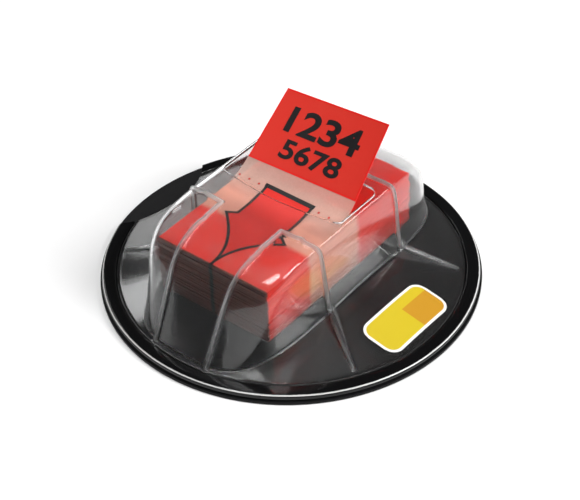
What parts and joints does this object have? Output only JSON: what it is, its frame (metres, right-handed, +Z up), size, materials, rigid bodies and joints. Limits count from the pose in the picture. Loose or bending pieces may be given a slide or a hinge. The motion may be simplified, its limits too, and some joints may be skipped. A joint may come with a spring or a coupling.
{
  "type": "desk-grip dispenser of sticky index tabs",
  "caption": "Round black desk base with a clear domed cover over a folded stack of red arrow film tabs, one tab drawn up through the slot.",
  "frame": {"origin": "middle of the base's underside, on the desk", "axes": "+Z up from the desk; the tab stack's length runs along Y, with the cover's sloping front at -Y; the thumb notch is at -X and the sticker at +X"},
  "size_m": [0.0734, 0.0734, 0.0326],
  "materials": {
    "grip_rubber": "matt soft rubber",
    "black_plastic": "gloss black moulding",
    "clear_plastic": "clear thermoformed sheet",
    "printed_film": "satin printed film",
    "sticker_film": "satin coloured film"
  },
  "bodies": {
    "root": {"grip_pad": "grip_rubber", "base_tray": "black_plastic", "clear_cover": "clear_plastic", "tab_stack": "printed_film", "dispensed_tab": "printed_film", "skirt_sticker": "sticker_film"}
  },
  "joints": []
}
